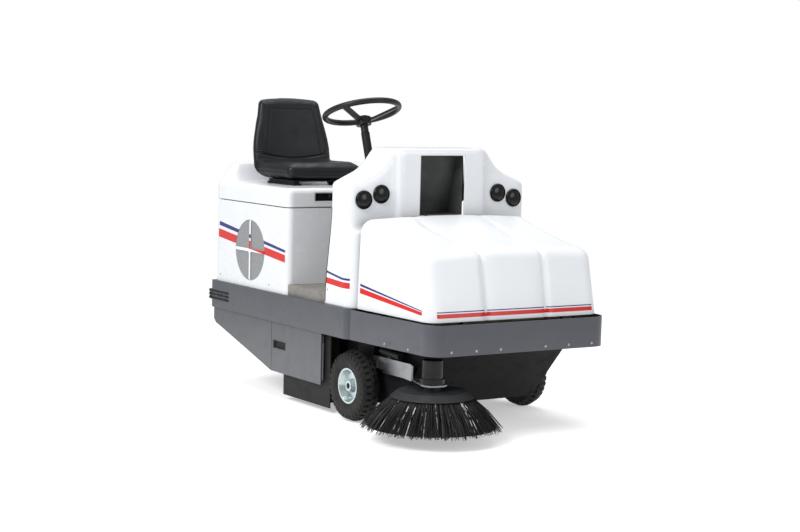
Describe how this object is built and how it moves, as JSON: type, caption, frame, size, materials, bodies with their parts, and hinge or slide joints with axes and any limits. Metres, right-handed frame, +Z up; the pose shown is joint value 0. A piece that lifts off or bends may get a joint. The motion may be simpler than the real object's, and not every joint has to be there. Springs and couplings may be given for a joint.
{
  "type": "ride-on sweeper",
  "caption": "Ride-on floor sweeper with a tipping front hopper under a ribbed hood, a cylindrical main brush, a side brush, a steered rear wheel and a bucket seat over the battery compartment",
  "frame": {"origin": "middle of the base: the centre of the overall bounding box at floor level", "axes": "+Z up, -Y forward, -X the driver's right"},
  "size_m": [1.151, 2.055, 1.3547],
  "materials": {
    "grey_paint": "satin grey paint",
    "white_gelcoat": "glossy white moulded cover",
    "black_steel": "black painted steel",
    "zinc": "zinc plated steel",
    "wheel_zinc": "bright plated wheel disc",
    "tyre_rubber": "black solid tyre",
    "soft_rubber": "black rubber",
    "floor_metal": "grey brown step plate",
    "vent_grey": "grey louvred grille with white cross",
    "lamp_black": "glossy black lamp",
    "dark_liner": "dark grey liner",
    "dash_plastic": "black textured plastic",
    "motor_black": "black motor housing",
    "bristle": "black bristle",
    "disc_plastic": "dark brush disc",
    "filter_paper": "pleated filter",
    "battery_case": "battery case",
    "black_vinyl": "black vinyl"
  },
  "bodies": {
    "chassis": {"side_rail_right": "grey_paint", "side_rail_left": "grey_paint", "rear_rail": "grey_paint", "front_cross_member": "black_steel", "turntable_plate": "black_steel", "lower_panel_right": "grey_paint", "lower_panel_left": "grey_paint", "rear_bumpers": "soft_rubber", "side_flaps": "soft_rubber", "brush_housing": "black_steel", "wheel_bracket_right": "black_steel", "wheel_bracket_left": "black_steel", "hopper_ears": "black_steel", "front_fairing": "white_gelcoat", "window_liner": "dark_liner", "dashboard": "dash_plastic", "lamp_caps": "lamp_black", "seat_body": "white_gelcoat", "vent_grille": "vent_grey", "footwell_floor": "floor_metal", "battery_tray": "black_steel", "batteries": "battery_case", "steering_column": "dash_plastic", "lid_hinge": "black_steel"},
    "door_right": {"door_right": "grey_paint"},
    "door_left": {"door_left": "grey_paint"},
    "wheel_right": {"tyre_right": "tyre_rubber", "rim_right": "wheel_zinc"},
    "wheel_left": {"tyre_left": "tyre_rubber", "rim_left": "wheel_zinc"},
    "fork": {"steering_fork": "black_steel", "drive_motor": "motor_black"},
    "rear_wheel": {"rear_tyre": "tyre_rubber", "rear_rim": "wheel_zinc"},
    "pitman": {"pitman_arm": "zinc"},
    "link": {"drag_link": "zinc"},
    "brush_lift": {"brush_arms": "black_steel", "brush_motor": "motor_black"},
    "main_brush": {"main_brush": "bristle"},
    "side_arm": {"side_brush_arm": "zinc", "side_brush_motor": "motor_black"},
    "side_brush": {"side_brush_disc": "disc_plastic", "side_brush_bristles": "bristle"},
    "hopper": {"front_bumper": "grey_paint", "hopper_tub": "black_steel", "filter_panel": "filter_paper", "suction_fan": "motor_black"},
    "hood": {"hood": "white_gelcoat"},
    "steering_wheel": {"steering_wheel": "dash_plastic"},
    "horn": {"horn_button": "dash_plastic"},
    "lid": {"seat_lid": "white_gelcoat", "seat_rails": "black_steel"},
    "seat": {"seat_frame": "black_steel", "seat_cushion": "black_vinyl", "seat_backrest": "black_vinyl"},
    "drive_pedal": {"drive_pedal": "dash_plastic"},
    "brake_pedal": {"brake_pedal": "dash_plastic"},
    "main_lever": {"main_brush_lever": "dash_plastic"},
    "side_lever": {"side_brush_lever": "dash_plastic"},
    "key": {"ignition_key": "zinc"}
  },
  "joints": [
    {"name": "wheel_right_spin", "type": "hinge", "parent": "chassis", "child": "wheel_right", "pos_m": [-0.341, -0.2375, 0.15], "axis": [1, 0, 0], "continuous": true},
    {"name": "wheel_left_spin", "type": "hinge", "parent": "chassis", "child": "wheel_left", "pos_m": [0.53, -0.2375, 0.15], "axis": [1, 0, 0], "continuous": true},
    {"name": "steering_turn", "type": "hinge", "parent": "chassis", "child": "steering_wheel", "pos_m": [-0.0555, 0.2125, 1.288], "axis": [0, 0.3256, 0.9455], "range_deg": [-200, 200]},
    {"name": "fork_steer", "type": "hinge", "parent": "chassis", "child": "fork", "pos_m": [0.0945, 0.8125, 0.312], "axis": [0, 0, 1], "range_deg": [-50, 50]},
    {"name": "rear_wheel_spin", "type": "hinge", "parent": "fork", "child": "rear_wheel", "pos_m": [0.0945, 0.8125, 0.15], "axis": [1, 0, 0], "continuous": true},
    {"name": "pitman_swing", "type": "hinge", "parent": "chassis", "child": "pitman", "pos_m": [-0.0555, 0.0785, 0.383], "axis": [0, 0, 1], "range_deg": [-50, 50]},
    {"name": "link_swivel", "type": "hinge", "parent": "pitman", "child": "link", "pos_m": [-0.1455, 0.0785, 0.383], "axis": [0, 0, 1], "range_deg": [-50, 50]},
    {"name": "horn_press", "type": "slide", "parent": "steering_wheel", "child": "horn", "axis": [0, -0.3256, -0.9455], "range_m": [0, 0.003], "stiffness_N_per_m": 500},
    {"name": "main_lever_pull", "type": "hinge", "parent": "chassis", "child": "main_lever", "pos_m": [0.1545, 0.0325, 0.55], "axis": [-1, 0, 0], "range_deg": [0, 45]},
    {"name": "brush_lift", "type": "hinge", "parent": "chassis", "child": "brush_lift", "pos_m": [0.0945, 0.3775, 0.255], "axis": [-1, 0, 0], "range_deg": [0, 9]},
    {"name": "main_brush_spin", "type": "hinge", "parent": "brush_lift", "child": "main_brush", "pos_m": [0.0945, 0.1625, 0.14], "axis": [1, 0, 0], "continuous": true},
    {"name": "side_lever_pull", "type": "hinge", "parent": "chassis", "child": "side_lever", "pos_m": [0.2045, 0.0325, 0.55], "axis": [-1, 0, 0], "range_deg": [-14, 32]},
    {"name": "side_arm_lift", "type": "hinge", "parent": "hopper", "child": "side_arm", "pos_m": [-0.2855, -0.3225, 0.262], "axis": [-1, 0, 0], "range_deg": [-3.5, 8]},
    {"name": "side_brush_spin", "type": "hinge", "parent": "side_arm", "child": "side_brush", "pos_m": [-0.2855, -0.7375, 0.19], "axis": [0, 0, 1], "continuous": true},
    {"name": "hopper_tip", "type": "hinge", "parent": "chassis", "child": "hopper", "pos_m": [0.0945, -0.2755, 0.832], "axis": [-1, 0, 0], "range_deg": [0, 50]},
    {"name": "hood_open", "type": "hinge", "parent": "hopper", "child": "hood", "pos_m": [0.0945, -0.7605, 0.488], "axis": [1, 0, 0], "range_deg": [0, 65]},
    {"name": "lid_open", "type": "hinge", "parent": "chassis", "child": "lid", "pos_m": [0.0945, 1.0045, 0.87], "axis": [-1, 0, 0], "range_deg": [0, 60]},
    {"name": "seat_slide", "type": "slide", "parent": "lid", "child": "seat", "axis": [0, 1, 0], "range_m": [-0.1, 0.02]},
    {"name": "door_right_open", "type": "hinge", "parent": "chassis", "child": "door_right", "pos_m": [-0.3585, -0.0035, 0.219], "axis": [0, 0, 1], "range_deg": [0, 100]},
    {"name": "door_left_open", "type": "hinge", "parent": "chassis", "child": "door_left", "pos_m": [0.5475, -0.0035, 0.219], "axis": [0, 0, -1], "range_deg": [0, 100]},
    {"name": "drive_pedal_press", "type": "hinge", "parent": "chassis", "child": "drive_pedal", "pos_m": [-0.2355, -0.1475, 0.546], "axis": [-1, 0, 0], "range_deg": [0, 20], "stiffness_Nm_per_rad": 6, "springref_deg": -11.46},
    {"name": "brake_pedal_press", "type": "hinge", "parent": "chassis", "child": "brake_pedal", "pos_m": [0.0645, -0.1475, 0.546], "axis": [-1, 0, 0], "range_deg": [0, 20], "stiffness_Nm_per_rad": 6, "springref_deg": -11.46},
    {"name": "key_turn", "type": "hinge", "parent": "chassis", "child": "key", "pos_m": [0.0495, -0.0275, 1.04], "axis": [0, 1, 0], "range_deg": [0, 90]}
  ],
  "couplings": [
    {"joint": "fork_steer", "follows": "steering_turn", "ratio": -0.25},
    {"joint": "pitman_swing", "follows": "steering_turn", "ratio": -0.25},
    {"joint": "link_swivel", "follows": "steering_turn", "ratio": 0.25},
    {"joint": "brush_lift", "follows": "main_lever_pull", "ratio": 0.2},
    {"joint": "side_arm_lift", "follows": "side_lever_pull", "ratio": 0.25}
  ]
}
